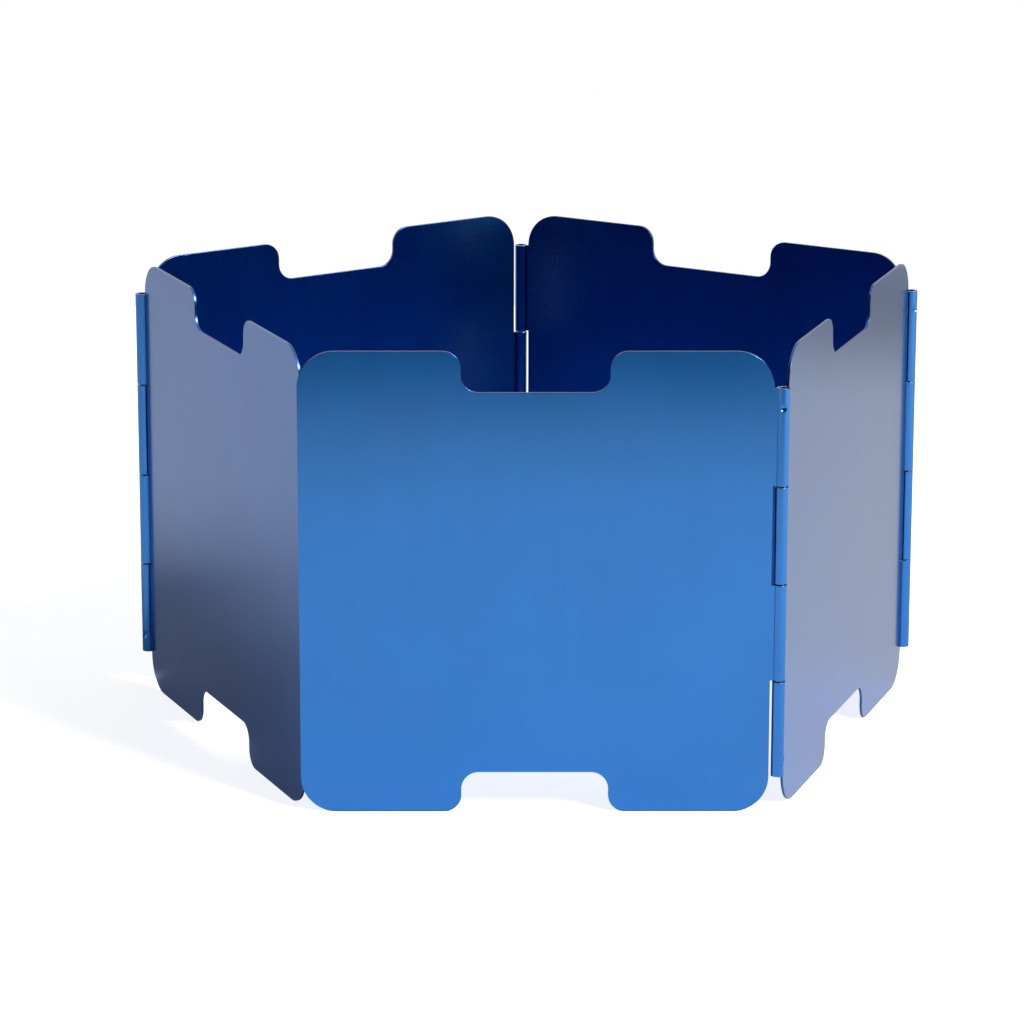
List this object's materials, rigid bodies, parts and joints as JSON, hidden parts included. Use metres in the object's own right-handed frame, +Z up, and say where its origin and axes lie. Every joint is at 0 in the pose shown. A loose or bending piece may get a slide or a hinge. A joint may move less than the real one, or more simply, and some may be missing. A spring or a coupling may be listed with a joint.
{
  "type": "stove windscreen",
  "caption": "Folding stove windscreen: square anodised sheet panels with vent notches, hinged edge to edge on pins, that stand as a ring and fold flat.",
  "frame": {"origin": "under the middle of the standing ring's plan, on the surface that it stands on", "axes": "+X along the front panel to the right, +Y from the front panel to the rear, +Z up along the hinge pins"},
  "size_m": [0.2312, 0.1972, 0.13],
  "materials": {
    "anodised_sheet": "satin blue anodised",
    "hinge_pin": "drawn wire"
  },
  "bodies": {
    "rear_right": {"rear_right_panel": "anodised_sheet", "right_rear_pin": "hinge_pin", "rear_pin": "hinge_pin"},
    "right": {"right_panel": "anodised_sheet", "front_right_pin": "hinge_pin"},
    "front": {"front_panel": "anodised_sheet"},
    "rear_left": {"rear_left_panel": "anodised_sheet", "left_rear_pin": "hinge_pin"},
    "left": {"left_panel": "anodised_sheet"}
  },
  "joints": [
    {"name": "right_rear_hinge", "type": "hinge", "parent": "rear_right", "child": "right", "pos_m": [0.11372, 0.02887, 0.065], "axis": [0, 0, 1], "range_deg": [0, 257.6]},
    {"name": "front_right_hinge", "type": "hinge", "parent": "right", "child": "front", "pos_m": [0.06818, -0.09674, 0.065], "axis": [0, 0, 1], "range_deg": [-108.58, 0]},
    {"name": "rear_hinge", "type": "hinge", "parent": "rear_right", "child": "rear_left", "pos_m": [-0.00136, 0.09674, 0.065], "axis": [0, 0, 1], "range_deg": [0, 114.93]},
    {"name": "left_rear_hinge", "type": "hinge", "parent": "rear_left", "child": "left", "pos_m": [-0.11372, 0.02444, 0.065], "axis": [0, 0, 1], "range_deg": [-258.99, 0]}
  ],
  "couplings": [
    {"joint": "front_right_hinge", "follows": "right_rear_hinge", "ratio": -0.42141},
    {"joint": "rear_hinge", "follows": "right_rear_hinge", "ratio": 0.44607},
    {"joint": "left_rear_hinge", "follows": "right_rear_hinge", "ratio": -1.0053}
  ]
}
